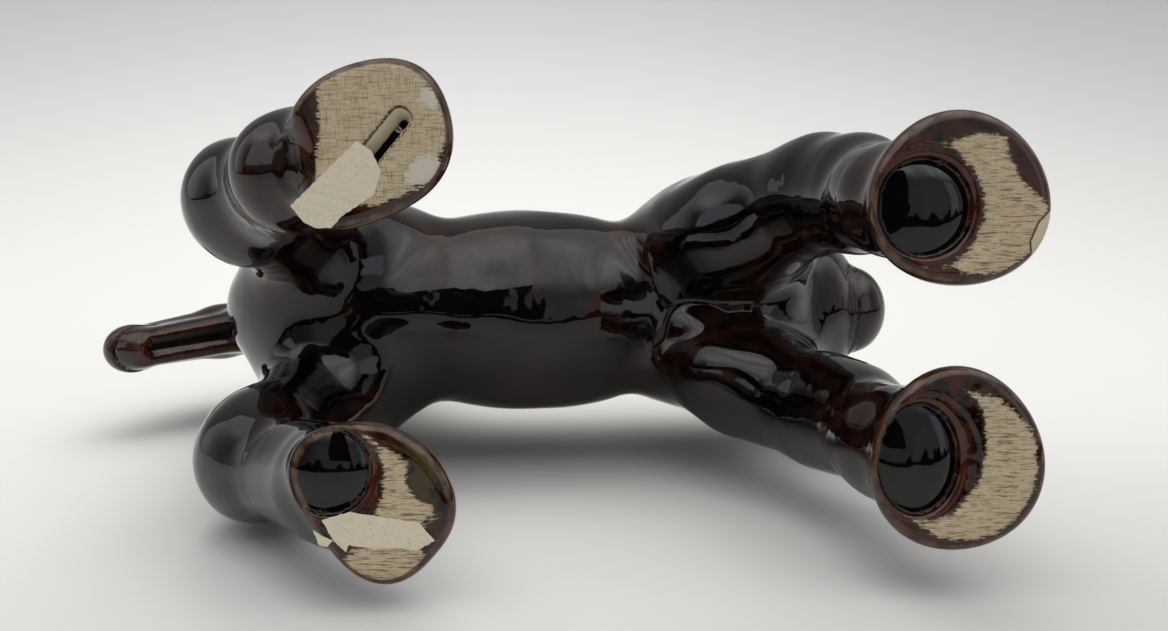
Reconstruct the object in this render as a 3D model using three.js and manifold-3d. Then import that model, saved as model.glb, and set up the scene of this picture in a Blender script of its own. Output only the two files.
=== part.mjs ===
// A cast heavy horse, glazed dark brown, standing with its front feet set back under its chest.
// Sizes are millimetres. The horse faces -Y, its left side is +X, up is +Z, and its soles lie in z = 0.
import * as THREE from 'three';
import { mergeVertices } from 'three/addons/utils/BufferGeometryUtils.js';
import Module from 'manifold-3d';

const wasm = await Module();
wasm.setup();

// Spacing of the grid on which the skin is found: close at the head and feet, another across the horse,
// and wide along the trunk.
const CLOSE = 5.7;
const ACROSS = 6.9;
const WIDE = 10;
// How far the feet run on below the ground before their flat soles are cut.
const UNDERCUT = 13;
// How softly the masses run into each other: the trunk, a limb at the trunk, a joint in a limb, the head.
const SOFT_TRUNK = 14;
const SOFT_LIMB = 12;
const SOFT_JOINT = 7;
const SOFT_HEAD = 5;
// The feet flare out to their soles like a bell, and their lowest edge stands straight.
const BELL_HEIGHT = 32;
const EDGE_HEIGHT = 4;

// Masses of the trunk: middle, half sizes.
const CHEST = { at: [1.5, -78, 138], half: [32, 39, 46] };
const BELLY = { at: [0, -10, 134], half: [36, 64, 40] };
const RUMP = { at: [0, 66, 148], half: [38, 50, 37] };
const CROTCH = { at: [3, 68, 117], half: [16, 17, 16] };
const WITHERS = { from: [0, -64, 172], r0: 14, to: [0, -18, 161], r1: 15 };
const LOIN = { from: [0, -18, 158], r0: 18, to: [0, 40, 164], r1: 19 };

// The neck stands up arched from the chest, narrower from side to side than from front to back.
const NECK_LOW = { from: [0, -79, 158], r0: 32, to: [-2, -92, 190], r1: 25, squash: 0.8 };
const NECK_TOP = { from: [-2, -92, 190], r0: 25, to: [-5, -99, 214], r1: 16, squash: 0.72 };
const CREST = [[0, -50, 182, 9], [-1, -62, 205, 8.5], [-3, -78, 223, 8], [-6, -97, 230, 7]];

// The head points down and forward, turned a little to the right.
const FOREHEAD = { from: [-6, -104, 222], r0: 12, to: [-11, -135, 200], r1: 11, squash: 0.92 };
const NOSE = { from: [-11, -135, 200], r0: 11, to: [-15.5, -161, 173], r1: 8.8, squash: 0.92 };
const CHEEK = { at: [-9, -118, 200], half: [9.6, 17, 18] };
const JAW = { from: [-10, -126, 189], r0: 8.4, to: [-15, -154, 166], r1: 7.2 };
const MUZZLE = { at: [-16, -163, 168], half: [8.6, 9, 8.8] };
const CHIN = { at: [-15.6, -157, 162], half: [6.8, 7, 5.5] };
const EAR_LENGTH = 22;
const EAR_WIDE = 5;
const EARS = [
  { foot: [0.5, -103, 229], lean: [0.2, -0.12, 1] },
  { foot: [-12.5, -103.5, 229], lean: [-0.24, -0.16, 1] },
];
const EYE = 2.7;
const EYES = [[0.6, -123, 211], [-18.4, -124.5, 210.5]];
const NOSTRIL = 2;
const NOSTRILS = [[-10.6, -169.6, 171.5], [-20.4, -170.2, 171.5]];

// The docked tail ends in a bun.
const DOCK = { from: [0, 101, 172], r0: 9, to: [-0.4, 110, 154], r1: 9 };
const BUN = { at: [-0.4, 109, 139], half: [16, 13, 13.5] };

// Each leg: its upper mass, then the round joints it passes through, then its bell foot. Waves in the outline of
// a foot are how many go round it, how deep they are beside its radius, and where the first one stands.
const LEGS = {
  frontLeft: {
    mass: { at: [22, -74, 130], half: [19, 28, 36] },
    line: [
      [26, -82, 112, 21], [34, -94, 68, 16.6], [35, -94.5, 57, 17], [39, -80, 38, 14.5],
      [41, -76.5, 26, 16.6],
    ],
    ankle: [41.5, -73, 15, 14],
    sole: [46.6, -54, 23.3, 19.2],
    turn: 45,
    waves: [[3, 0.024, -140], [4, 0.032, 61]],
  },
  frontRight: {
    mass: { at: [-22, -73, 130], half: [19, 28, 36] },
    line: [
      [-28, -77, 111, 22], [-39, -91.5, 68, 15.2], [-41, -92, 57, 14.8], [-42, -80, 38, 13.5],
      [-42, -73, 26, 13.5],
    ],
    ankle: [-42.5, -70, 13.5, 13],
    sole: [-42.8, -52.8, 22.6, 17.8],
    turn: -48,
    waves: [[3, 0.057, -135], [4, 0.025, 147]],
  },
  hindLeft: {
    mass: { at: [26, 58, 122], half: [23, 32, 42] },
    line: [[31.5, 63, 97, 19.5], [38.5, 80, 71, 17.6], [37.4, 86, 52, 16.4], [34.5, 86, 26, 13]],
    hock: [37, 93, 71, 8.5],
    ankle: [34, 87.5, 13.5, 13.5],
    sole: [33, 97.6, 24.2, 22.8],
    turn: 0,
    waves: [[3, 0.024, -90]],
  },
  hindRight: {
    mass: { at: [-19.5, 60, 122], half: [17.5, 30, 42] },
    line: [[-24.5, 64, 98, 18.5], [-30, 82, 68, 17], [-30.8, 86, 54, 15.6], [-33, 86, 26, 13.4]],
    hock: [-30.5, 93, 71, 8.5],
    ankle: [-33.6, 87.5, 13.5, 13.5],
    sole: [-34.8, 98, 23.2, 24.2],
    turn: 0,
    waves: [[3, 0.026, -70]],
  },
};

// The casting slit in the bare left front sole, and the dishes in the other three. A dish sinks from its oval
// rim to the foot of a dome of run glaze, whose top is just below the sole.
const SLIT = { at: [47.8, -50.2], length: 21, width: 4.6, deep: 6, turn: -47 };
const DISHES = [
  { rim: [31.4, 90.4], half: [16, 16], dome: [30.9, 86.9], domeHalf: [12, 12], deep: 3.8 },
  { rim: [-34.6, 88.6], half: [17, 14], dome: [-34, 86.6], domeHalf: [14.4, 10.8], deep: 3 },
  { rim: [-36.6, -60.8], half: [12.2, 12], dome: [-35.6, -62.6], domeHalf: [9.8, 9.6], deep: 2.6 },
];
const DOME_BELOW = 0.3;
const DISH_SIDES = 18;

const blend = (a, b, soft) => {
  const h = Math.max(soft - Math.abs(a - b), 0) / soft;
  return Math.min(a, b) - h * h * soft * 0.25;
};

// Distance to a ball stretched to three half sizes, good enough near its skin.
function stretched(p, { at, half }) {
  const q = p.map((v, i) => (v - at[i]) / half[i]);
  const g = q.map((v, i) => v / half[i]);
  const k0 = Math.hypot(...q);
  const k1 = Math.hypot(...g);
  return k1 < 1e-9 ? -Math.min(...half) : (k0 * (k0 - 1)) / k1;
}

// Distance to a bar with round ends whose radius runs from r0 to r1.
function tapered(p, from, r0, to, r1, squash = 1) {
  const pa = p.map((v, i) => v - from[i]);
  const ba = to.map((v, i) => v - from[i]);
  pa[0] /= squash;
  ba[0] /= squash;
  const long = ba[0] * ba[0] + ba[1] * ba[1] + ba[2] * ba[2];
  const along = (pa[0] * ba[0] + pa[1] * ba[1] + pa[2] * ba[2]) / long;
  const t = Math.min(1, Math.max(0, along));
  const off = Math.hypot(pa[0] - ba[0] * t, pa[1] - ba[1] * t, pa[2] - ba[2] * t);
  return (off - (r0 + (r1 - r0) * t)) * (squash < 1 ? squash : 1);
}

// Distance to a foot: ovals that shrink from the sole up to the ankle.
function bell(p, { sole, ankle, turn, waves }) {
  const t = Math.min(1, Math.max(0, (p[2] - EDGE_HEIGHT) / (BELL_HEIGHT - EDGE_HEIGHT)));
  const flare = (1 - t) ** 2;
  const a = ankle[2] + (sole[2] - ankle[2]) * flare;
  const b = ankle[3] + (sole[3] - ankle[3]) * flare;
  const angle = THREE.MathUtils.degToRad(turn);
  const x = p[0] - (ankle[0] + (sole[0] - ankle[0]) * (1 - t));
  const y = p[1] - (ankle[1] + (sole[1] - ankle[1]) * (1 - t));
  const u = x * Math.sin(angle) + y * Math.cos(angle);
  const v = x * Math.cos(angle) - y * Math.sin(angle);
  const way = Math.atan2(v / b, u / a);
  const outline = waves.reduce((r, [n, deep, at]) => {
    return r + deep * flare * Math.cos(n * way - THREE.MathUtils.degToRad(at));
  }, 1);
  const ring = (Math.hypot(u / a, v / b) - outline) * Math.min(a, b);
  return Math.max(ring, p[2] - BELL_HEIGHT, -UNDERCUT - p[2]);
}

// A run of tapered bars through a list of points, each with its radius.
function run(p, line, soft) {
  let d = tapered(p, line[0], line[0][3], line[1], line[1][3]);
  for (let i = 1; i < line.length - 1; i += 1) {
    d = blend(d, tapered(p, line[i], line[i][3], line[i + 1], line[i + 1][3]), soft);
  }
  return d;
}

function leg(p, { mass, line, hock, ...foot }) {
  let d = run(p, line, SOFT_JOINT);
  if (hock) {
    d = blend(d, tapered(p, hock, hock[3], line[1], hock[3]), SOFT_JOINT);
  }
  d = blend(d, bell(p, foot), SOFT_JOINT);
  return blend(d, stretched(p, mass), SOFT_LIMB);
}

const bar = (p, { from, r0, to, r1, squash }) => tapered(p, from, r0, to, r1, squash);

// The skin of the whole horse is where this is nought.
function horse(p) {
  let d = blend(stretched(p, BELLY), stretched(p, CHEST), SOFT_TRUNK);
  d = blend(d, stretched(p, RUMP), SOFT_TRUNK);
  d = blend(d, bar(p, WITHERS), SOFT_TRUNK);
  d = blend(d, bar(p, LOIN), SOFT_TRUNK);
  let neck = blend(bar(p, NECK_LOW), bar(p, NECK_TOP), SOFT_LIMB);
  neck = blend(neck, run(p, CREST, SOFT_JOINT), SOFT_LIMB);
  d = blend(d, neck, SOFT_TRUNK);
  let head = blend(bar(p, FOREHEAD), bar(p, NOSE), SOFT_HEAD);
  head = blend(head, stretched(p, CHEEK), SOFT_HEAD);
  head = blend(head, bar(p, JAW), SOFT_HEAD);
  head = blend(head, stretched(p, MUZZLE), SOFT_HEAD);
  head = blend(head, stretched(p, CHIN), SOFT_HEAD / 2);
  d = blend(d, head, SOFT_JOINT);
  for (const name of Object.keys(LEGS)) {
    d = blend(d, leg(p, LEGS[name]), SOFT_LIMB);
  }
  d = blend(d, stretched(p, CROTCH), SOFT_JOINT);
  d = blend(d, bar(p, DOCK), SOFT_HEAD);
  return blend(d, stretched(p, BUN), SOFT_HEAD / 2);
}

function slope(p) {
  const e = 0.05;
  return [0, 1, 2].map((i) => {
    const a = [...p];
    const b = [...p];
    a[i] += e;
    b[i] -= e;
    return (horse(a) - horse(b)) / (2 * e);
  });
}

// The places of the grid lines along one way.
function lines(low, high, spacing) {
  const places = [low];
  while (places[places.length - 1] < high) {
    const last = places[places.length - 1];
    places.push(last + spacing(last));
  }
  return places;
}

// One corner for each grid box that the skin passes through, one square for each grid line it crosses.
function skin(grid) {
  const [nx, ny, nz] = grid.map((places) => places.length);
  const at = (i, j, k) => i + nx * (j + ny * k);
  const value = new Float64Array(nx * ny * nz);
  for (let k = 0; k < nz; k += 1) {
    for (let j = 0; j < ny; j += 1) {
      for (let i = 0; i < nx; i += 1) {
        value[at(i, j, k)] = horse([grid[0][i], grid[1][j], grid[2][k]]) || 1e-9;
      }
    }
  }
  const corners = [];
  const which = new Int32Array(nx * ny * nz).fill(-1);
  for (let k = 0; k < nz - 1; k += 1) {
    for (let j = 0; j < ny - 1; j += 1) {
      for (let i = 0; i < nx - 1; i += 1) {
        const sum = [0, 0, 0];
        let hits = 0;
        for (let axis = 0; axis < 3; axis += 1) {
          for (let n = 0; n < 4; n += 1) {
            const a = [i, j, k];
            a[(axis + 1) % 3] += n & 1;
            a[(axis + 2) % 3] += n >> 1;
            const b = [...a];
            b[axis] += 1;
            const va = value[at(...a)];
            const vb = value[at(...b)];
            if (va < 0 !== vb < 0) {
              const t = va / (va - vb);
              for (let m = 0; m < 3; m += 1) {
                sum[m] += grid[m][a[m]] + (grid[m][b[m]] - grid[m][a[m]]) * t;
              }
              hits += 1;
            }
          }
        }
        if (hits > 0) {
          which[at(i, j, k)] = corners.length;
          corners.push(sum.map((v) => v / hits));
        }
      }
    }
  }
  const squares = [];
  for (let k = 1; k < nz - 1; k += 1) {
    for (let j = 1; j < ny - 1; j += 1) {
      for (let i = 1; i < nx - 1; i += 1) {
        for (let axis = 0; axis < 3; axis += 1) {
          const b = [i, j, k];
          b[axis] += 1;
          const inside = value[at(i, j, k)] < 0;
          if (inside !== value[at(...b)] < 0) {
            const u = [0, 0, 0];
            const v = [0, 0, 0];
            u[(axis + 1) % 3] = 1;
            v[(axis + 2) % 3] = 1;
            const ring = [[0, 0], [1, 0], [1, 1], [0, 1]].map(([s, t]) => {
              return which[at(i - s * u[0] - t * v[0], j - s * u[1] - t * v[1], k - s * u[2] - t * v[2])];
            });
            squares.push(inside ? ring : ring.reverse());
          }
        }
      }
    }
  }
  return { corners, squares };
}

// Each corner is evened out between its neighbours and drawn back onto the skin.
function settle({ corners, squares }, rounds) {
  const near = corners.map(() => new Set());
  for (const ring of squares) {
    ring.forEach((a, n) => {
      near[a].add(ring[(n + 1) % 4]);
      near[a].add(ring[(n + 3) % 4]);
    });
  }
  for (let round = 0; round < rounds; round += 1) {
    const even = corners.map((p, n) => {
      const sum = [0, 0, 0];
      for (const m of near[n]) {
        corners[m].forEach((v, i) => {
          sum[i] += v;
        });
      }
      return p.map((v, i) => v * 0.5 + (sum[i] / near[n].size) * 0.5);
    });
    even.forEach((p, n) => {
      const g = slope(p);
      const size = g[0] * g[0] + g[1] * g[1] + g[2] * g[2];
      const step = Math.max(-0.4 * CLOSE, Math.min(0.4 * CLOSE, horse(p) / Math.sqrt(size)));
      corners[n] = p.map((v, i) => v - (step * g[i]) / Math.sqrt(size));
    });
  }
}

function solid(corners, faces) {
  return new wasm.Manifold(new wasm.Mesh({
    numProp: 3,
    vertProperties: new Float32Array(corners.flat()),
    triVerts: new Uint32Array(faces.flat()),
  }));
}

function fromGeometry(geometry) {
  geometry.deleteAttribute('normal');
  geometry.deleteAttribute('uv');
  const merged = mergeVertices(geometry, 1e-4);
  return new wasm.Manifold(new wasm.Mesh({
    numProp: 3,
    vertProperties: new Float32Array(merged.attributes.position.array),
    triVerts: new Uint32Array(merged.index.array),
  }));
}

function body() {
  const found = skin([
    lines(-81, 80, () => ACROSS),
    lines(-188, 140, (y) => (y > -50 && y < 24 ? WIDE : CLOSE)),
    lines(-19.8, 252, (z) => (z > 62 && z < 150 ? WIDE : CLOSE)),
  ]);
  settle(found, 3);
  const faces = [];
  const { corners } = found;
  const span = (a, b) => Math.hypot(...corners[a].map((v, i) => v - corners[b][i]));
  for (const [a, b, c, d] of found.squares) {
    if (span(a, c) < span(b, d)) {
      faces.push([a, b, c], [a, c, d]);
    } else {
      faces.push([b, c, d], [b, d, a]);
    }
  }
  return solid(corners, faces);
}

// A closed form through rings of corners, each with the same number round it, and a tip at either end.
function stack(rings, first, last) {
  const around = rings[0].length;
  const corners = [...rings.flat(), first, last];
  const tip = corners.length - 2;
  const end = (rings.length - 1) * around;
  const faces = [];
  for (let m = 0; m < around; m += 1) {
    const next = (m + 1) % around;
    for (let a = 0; a < end; a += around) {
      faces.push([a + m, a + next, a + around + next]);
      faces.push([a + m, a + around + next, a + around + m]);
    }
    faces.push([next, m, tip]);
    faces.push([end + m, end + next, tip + 1]);
  }
  return solid(corners, faces);
}

// An ear is a leaf of rings that shrink to a point.
function ear({ foot, lean }) {
  const count = 7;
  const around = 10;
  const sunk = 4;
  const up = new THREE.Vector3(...lean).normalize();
  const side = new THREE.Vector3(1, 0, 0).addScaledVector(up, -up.x).normalize();
  const front = new THREE.Vector3().crossVectors(up, side);
  const along = (t) => new THREE.Vector3(...foot).addScaledVector(up, EAR_LENGTH * t - sunk);
  const rings = [];
  for (let n = 0; n < count; n += 1) {
    const t = n / count;
    const r = EAR_WIDE * Math.sin(Math.PI * (0.3 + 0.66 * t)) ** 0.8;
    const ring = [];
    for (let m = 0; m < around; m += 1) {
      const angle = (2 * Math.PI * m) / around;
      const p = along(t).addScaledVector(side, r * Math.cos(angle));
      ring.push(p.addScaledVector(front, r * 0.62 * Math.sin(angle)).toArray());
    }
    rings.push(ring);
  }
  return stack(rings, along(-0.05).toArray(), along(1).toArray());
}

function groundBlock() {
  const block = new THREE.BoxGeometry(300, 500, 60);
  block.translate(0, 0, -30);
  return fromGeometry(block);
}

function slit() {
  const cut = new THREE.BoxGeometry(SLIT.width, SLIT.length, SLIT.deep * 2);
  cut.rotateZ(THREE.MathUtils.degToRad(SLIT.turn));
  cut.translate(SLIT.at[0], SLIT.at[1], 0);
  return fromGeometry(cut);
}

// The ring of a dish part of the way out from the foot of its dome, which is 0, to its rim, which is 1.
function dishRing({ rim, half, dome, domeHalf }, out, size, z) {
  const ring = [];
  for (let m = 0; m < DISH_SIDES; m += 1) {
    const angle = (2 * Math.PI * m) / DISH_SIDES;
    const round = [Math.cos(angle), Math.sin(angle)];
    const [x, y] = [0, 1].map((i) => {
      const middle = dome[i] + (rim[i] - dome[i]) * out;
      return middle + (domeHalf[i] + (half[i] - domeHalf[i]) * out) * size * round[i];
    });
    ring.push([x, y, z]);
  }
  return ring;
}

function dish(one) {
  const rings = [dishRing(one, 1, 1, -1)];
  for (const out of [1, 0.45, 0.15]) {
    rings.push(dishRing(one, out, 1, one.deep * (1 - out) ** 2));
  }
  for (const size of [1, 0.8, 0.5]) {
    rings.push(dishRing(one, 0, size, DOME_BELOW + (one.deep - DOME_BELOW) * size ** 2));
  }
  return stack(rings, [...one.rim, -1], [...one.dome, DOME_BELOW]);
}

function ball(at, r) {
  const round = new THREE.SphereGeometry(r, 10, 7);
  round.translate(...at);
  return fromGeometry(round);
}

let whole = body();
for (const one of EARS) {
  whole = whole.add(ear(one));
}
for (const at of EYES) {
  whole = whole.add(ball(at, EYE));
}
for (const at of NOSTRILS) {
  whole = whole.subtract(ball(at, NOSTRIL));
}
whole = whole.subtract(groundBlock());
whole = whole.subtract(slit());
for (const one of DISHES) {
  whole = whole.subtract(dish(one));
}

const made = whole.getMesh();
const geometry = new THREE.BufferGeometry();
geometry.setAttribute('position', new THREE.Float32BufferAttribute(made.vertProperties, 3));
geometry.setIndex([...made.triVerts]);
geometry.computeBoundingBox();
const { min, max } = geometry.boundingBox;
geometry.translate(-(min.x + max.x) / 2, -(min.y + max.y) / 2, -min.z);
geometry.computeVertexNormals();

const glaze = new THREE.MeshStandardMaterial({ color: 0x2a120a, roughness: 0.12, metalness: 0 });
const horseMesh = new THREE.Mesh(geometry, glaze);
horseMesh.name = 'horse';

const group = new THREE.Group();
group.name = 'heavy_horse_figurine';
group.add(horseMesh);

export default group;
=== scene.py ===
# %% [markdown]
# A cast heavy horse in treacle-brown glaze
#
# The horse is one hollow casting. Its form is rebuilt here as a field: a number for every point in space
# that is negative inside the clay and positive outside. Round masses run softly into each other in such a
# field, which is how a modelled and slip-cast animal looks. The skin is then found where the field is nought,
# on a fine grid. The object could also be sculpted by hand from a subdivided cage, but a field keeps every
# size a named number.

# %% Loading the frame
import math
from functools import reduce

import bmesh
import bpy
import mathutils
import numpy as np
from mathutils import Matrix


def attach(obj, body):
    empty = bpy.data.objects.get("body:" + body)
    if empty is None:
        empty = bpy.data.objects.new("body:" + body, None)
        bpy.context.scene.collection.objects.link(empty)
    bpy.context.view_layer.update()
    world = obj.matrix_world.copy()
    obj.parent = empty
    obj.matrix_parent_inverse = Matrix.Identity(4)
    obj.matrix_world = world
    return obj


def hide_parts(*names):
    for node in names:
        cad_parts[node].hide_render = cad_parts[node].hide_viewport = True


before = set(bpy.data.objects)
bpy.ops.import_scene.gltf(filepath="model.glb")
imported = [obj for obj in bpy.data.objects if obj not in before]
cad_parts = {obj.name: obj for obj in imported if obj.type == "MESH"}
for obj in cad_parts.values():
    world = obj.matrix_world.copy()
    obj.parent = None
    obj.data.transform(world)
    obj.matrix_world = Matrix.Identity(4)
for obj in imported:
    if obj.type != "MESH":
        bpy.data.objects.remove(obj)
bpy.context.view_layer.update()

# %% [markdown]
# The camera stands under the horse, because the horse lies on its right side and is seen from beneath its
# feet. The picture's right is the horse's rear and the picture's top is its left side. The camera leans a
# little, so that the horse's height runs a few degrees away from the line of sight.

# %% The camera
PICTURE = (1168, 631)
FOCAL_PIXELS = 1200.0
DISTANCE = 0.302
LEAN_FORE = math.radians(4.0)
LEAN_SIDE = math.radians(2.4)


def unit(vector):
    vector = np.array(vector, float)
    return vector / np.linalg.norm(vector)


# The horse's own axes as the camera sees them, in its right, down and forward directions.
height_seen = unit([-math.tan(LEAN_FORE), -math.tan(LEAN_SIDE), 1.0])
rear_seen = unit(np.array([1.0, 0, 0]) - height_seen[0] * height_seen)
left_seen = np.cross(rear_seen, height_seen)
seen = np.stack([left_seen, rear_seen, height_seen], axis=1)
print("the camera looks along", seen[2].round(3))

# %% [markdown]
# The sizes below are millimetres in the modeller's own frame: the horse faces -Y, its left side is +X, its
# soles lie in z = 0, and x = 0 is the middle of its back. Most are the sizes that the solid is made from.
# Some forms are finer here than in the solid: the girth fills the dip between chest and belly, the legs run
# more smoothly into their feet, and the slit, the dishes and the rims of the soles are closer to the picture.

# %% Sizes of the horse
SOFT_TRUNK = 14
SOFT_LIMB = 12
SOFT_JOINT = 7
SOFT_HEAD = 5
BELL_HEIGHT = 32
EDGE_HEIGHT = 4

CHEST = dict(at=(1.5, -78, 138), half=(32, 39, 46))
GIRTH = dict(at=(1, -56, 134), half=(26, 52, 41))
BELLY = dict(at=(0, -10, 134), half=(36, 64, 40))
RUMP = dict(at=(0, 66, 148), half=(38, 50, 37))
CROTCH = dict(at=(3, 68, 117), half=(16, 17, 16))
GROIN = dict(at=(-6, 47, 108), half=(7, 9, 8))
WITHERS = [(0, -64, 172, 14), (0, -18, 161, 15)]
LOIN = [(0, -18, 158, 18), (0, 40, 164, 19)]

NECK_LOW = [(0, -79, 158, 32), (-2, -92, 190, 25)]
NECK_TOP = [(-2, -92, 190, 25), (-5, -99, 214, 16)]
NECK_FLAT = (0.8, 0.72)
CREST = [(0, -50, 182, 9), (-1, -62, 205, 8.5), (-3, -78, 223, 8), (-6, -97, 230, 7)]

FOREHEAD = [(-6, -104, 222, 12), (-11, -135, 200, 11)]
NOSE = [(-11, -135, 200, 11), (-15.5, -161, 173, 8.8)]
HEAD_FLAT = 0.92
CHEEK = dict(at=(-9, -118, 200), half=(9.6, 17, 18))
JAW = [(-10, -126, 189, 8.4), (-15, -154, 166, 7.2)]
MUZZLE = dict(at=(-16, -163, 168), half=(8.6, 9, 8.8))
CHIN = dict(at=(-15.6, -157, 162), half=(6.8, 7, 5.5))

DOCK = [(0, 101, 172, 9), (-0.4, 110, 154, 9)]
BUN = dict(at=(-0.4, 109, 139), half=(16, 13, 13.5))

# A foot's waves are how many go round its outline, how deep they are beside its radius, and where one stands.
LEGS = dict(
    front_left=dict(
        mass=dict(at=(22, -74, 130), half=(19, 28, 36)),
        line=[
            (26, -82, 112, 21), (34, -94, 68, 16.6), (35, -94.5, 57, 17), (39, -80, 38, 14.5),
            (41, -76.5, 26, 16.6),
        ],
        ankle=(41.5, -73, 15, 14), sole=(46.6, -54, 23.3, 19.2), turn=45,
        waves=[(3, 0.024, -140), (4, 0.032, 61)],
    ),
    front_right=dict(
        mass=dict(at=(-22, -73, 130), half=(19, 28, 36)),
        line=[(-28, -77, 111, 22), (-39, -91.5, 68, 15.2), (-41, -92, 57, 14.8), (-42, -69, 23, 12.8)],
        ankle=(-42.5, -70, 13.5, 13), sole=(-42.8, -52.8, 22.6, 17.8), turn=-48,
        waves=[(3, 0.057, -135), (4, 0.025, 147)], soft_line=14, soft_foot=14,
    ),
    hind_left=dict(
        mass=dict(at=(26, 58, 122), half=(23, 32, 42)),
        line=[(31.5, 63, 97, 19.5), (38.5, 80, 71, 17.6), (37.4, 86, 52, 16.4), (34.5, 86, 26, 13)],
        hock=(37, 93, 71, 8.5),
        ankle=(34, 87.5, 13.5, 13.5), sole=(33, 97.6, 24.2, 22.8), turn=0, waves=[(3, 0.024, -90)],
        soft_foot=12,
    ),
    hind_right=dict(
        mass=dict(at=(-19.5, 60, 122), half=(17.5, 30, 42)),
        line=[(-24.5, 64, 98, 18.5), (-30, 82, 68, 17), (-30.8, 86, 54, 15.6), (-33, 86, 26, 13.4)],
        hock=(-30.5, 93, 71, 8.5),
        ankle=(-33.6, 87.5, 13.5, 13.5), sole=(-34.8, 98, 23.2, 24.2), turn=0, waves=[(3, 0.026, -70)],
        soft_foot=12,
    ),
)
print(len(LEGS), "legs")

# %% [markdown]
# Three kinds of mass make the whole horse: a stretched ball, a tapered bar with round ends, and the bell of a
# foot. Two masses join by a blend that fills the crease between them over a chosen width.


# %% Masses and how they blend
HAIR_DEEP = 0.13
HAIR_COUNT = 26
HAIR_BACK = (0.1, 0.7)
HAIR_FOOT = (7, 11)
HAIR_TOP = (18, 27)
BELL_TOP_SOFT = 14


def ramp(value, low, high):
    """0 at low, 1 at high, and a smooth step from one to the other."""
    t = np.clip((value - low) / (high - low), 0, 1)
    return t * t * (3 - 2 * t)


def blend(a, b, soft):
    near = np.maximum(soft - np.abs(a - b), 0) / soft
    return np.minimum(a, b) - near * near * soft / 4


def carve(a, b, soft):
    """Keeps what is inside a and outside b."""
    return -blend(-a, b, soft)


def turned(x, y, at_x, at_y, turn):
    """How far a place lies from a point, across and along axes turned about it."""
    angle = math.radians(turn)
    x, y = x - at_x, y - at_y
    return x * math.cos(angle) + y * math.sin(angle), y * math.cos(angle) - x * math.sin(angle)


def ball(p, at, half):
    q = (p - np.array(at, float)) / np.array(half, float)
    outward = np.linalg.norm(q, axis=-1)
    steep = np.linalg.norm(q / np.array(half, float), axis=-1) + 1e-9
    return outward * (outward - 1) / steep


def bar(p, start, end, flat=1.0):
    (ax, ay, az, r0), (bx, by, bz, r1) = start, end
    squeeze = np.array([1 / flat, 1, 1])
    from_start = (p - np.array([ax, ay, az])) * squeeze
    way = np.array([bx - ax, by - ay, bz - az]) * squeeze
    along = np.clip(from_start @ way / (way @ way), 0, 1)
    off = np.linalg.norm(from_start - along[..., None] * way, axis=-1)
    return (off - (r0 + (r1 - r0) * along)) * min(1, flat)


def chain(p, points, soft):
    d = bar(p, points[0], points[1])
    for start, end in zip(points[1:-1], points[2:]):
        d = blend(d, bar(p, start, end), soft)
    return d


def bell(p, ankle, sole, turn, waves, hair_deep=HAIR_DEEP):
    x, y, z = p[..., 0], p[..., 1], p[..., 2]
    up = np.clip((z - EDGE_HEIGHT) / (BELL_HEIGHT - EDGE_HEIGHT), 0, 1)
    flare = (1 - up) ** 2
    long = ankle[2] + (sole[2] - ankle[2]) * flare
    wide = ankle[3] + (sole[3] - ankle[3]) * flare
    angle = math.radians(turn)
    x = x - (ankle[0] + (sole[0] - ankle[0]) * (1 - up))
    y = y - (ankle[1] + (sole[1] - ankle[1]) * (1 - up))
    u = x * math.sin(angle) + y * math.cos(angle)
    v = x * math.cos(angle) - y * math.sin(angle)
    way = np.arctan2(v / wide, u / long)
    outline = 1 + sum(deep * flare * np.cos(n * way - math.radians(at)) for n, deep, at in waves)
    # Locks of hair hang round the back of the foot and fade out a little above its edge.
    hair = hair_deep * np.cos(HAIR_COUNT * way) * ramp(u / long, *HAIR_BACK)
    hair = hair * ramp(z, *HAIR_FOOT) * (1 - ramp(z, *HAIR_TOP))
    ring = (np.hypot(u / long, v / wide) - outline) * np.minimum(long, wide)
    # The bell's top is rounded off, so that it leaves no cuff where the leg runs into it.
    return carve(ring + hair, BELL_HEIGHT - z, BELL_TOP_SOFT)


def leg(p, mass, line, ankle, sole, turn, waves, hock=None, soft_line=SOFT_JOINT, soft_foot=SOFT_JOINT):
    d = chain(p, line, soft_line)
    if hock:
        d = blend(d, bar(p, hock, (*line[1][:3], hock[3])), SOFT_JOINT)
    d = blend(d, bell(p, ankle, sole, turn, waves), soft_foot)
    return blend(d, ball(p, **mass), SOFT_LIMB)


print("a foot's bell stands", BELL_HEIGHT, "mm high, with", HAIR_COUNT, "locks to a full round")

# %% [markdown]
# The soles are flat because the feet were wiped and stood on a shelf in the kiln. Their rims are rounded.
# Three of them have a shallow dish towards the front, in which run glaze has gathered to a dome. The fourth
# shows the slit that the slip was poured out of, and its front runs up softly into the foot.

# %% Carving of the soles
RIM_ROUND = 1.9
SOFT_TOE = dict(at=(41, -72), half=(15, 11), round=9)
SLIT = dict(
    at=(46.3, -50.7), turn=-51, length=21, width=5.0, deep=8,
    slope_deep=4.5, slope=2.7, end_slope=0.6,
)
DISHES = [
    dict(
        rim=(31.4, 90.4), half=(16, 16), deep=3.2,
        dome=(30.9, 87.4), dome_half=(12.6, 12.6), lean=(0.10, 0.38),
    ),
    dict(
        rim=(-34.6, 88.6), half=(17, 14), deep=3.0,
        dome=(-34, 86.6), dome_half=(14.4, 10.8), lean=(-0.10, 0.32),
    ),
    dict(
        rim=(-36.2, -62.8), half=(12.6, 12.2), deep=2.6,
        dome=(-35.4, -64.2), dome_half=(10.9, 10.5), lean=(0, 0),
    ),
]
DOME_BELOW = 0.3
DOME_ROUND = 0.7
DISH_FLAT = 5
DISH_STEEP = 1.3
DISH_EASE = 0.8


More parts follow.
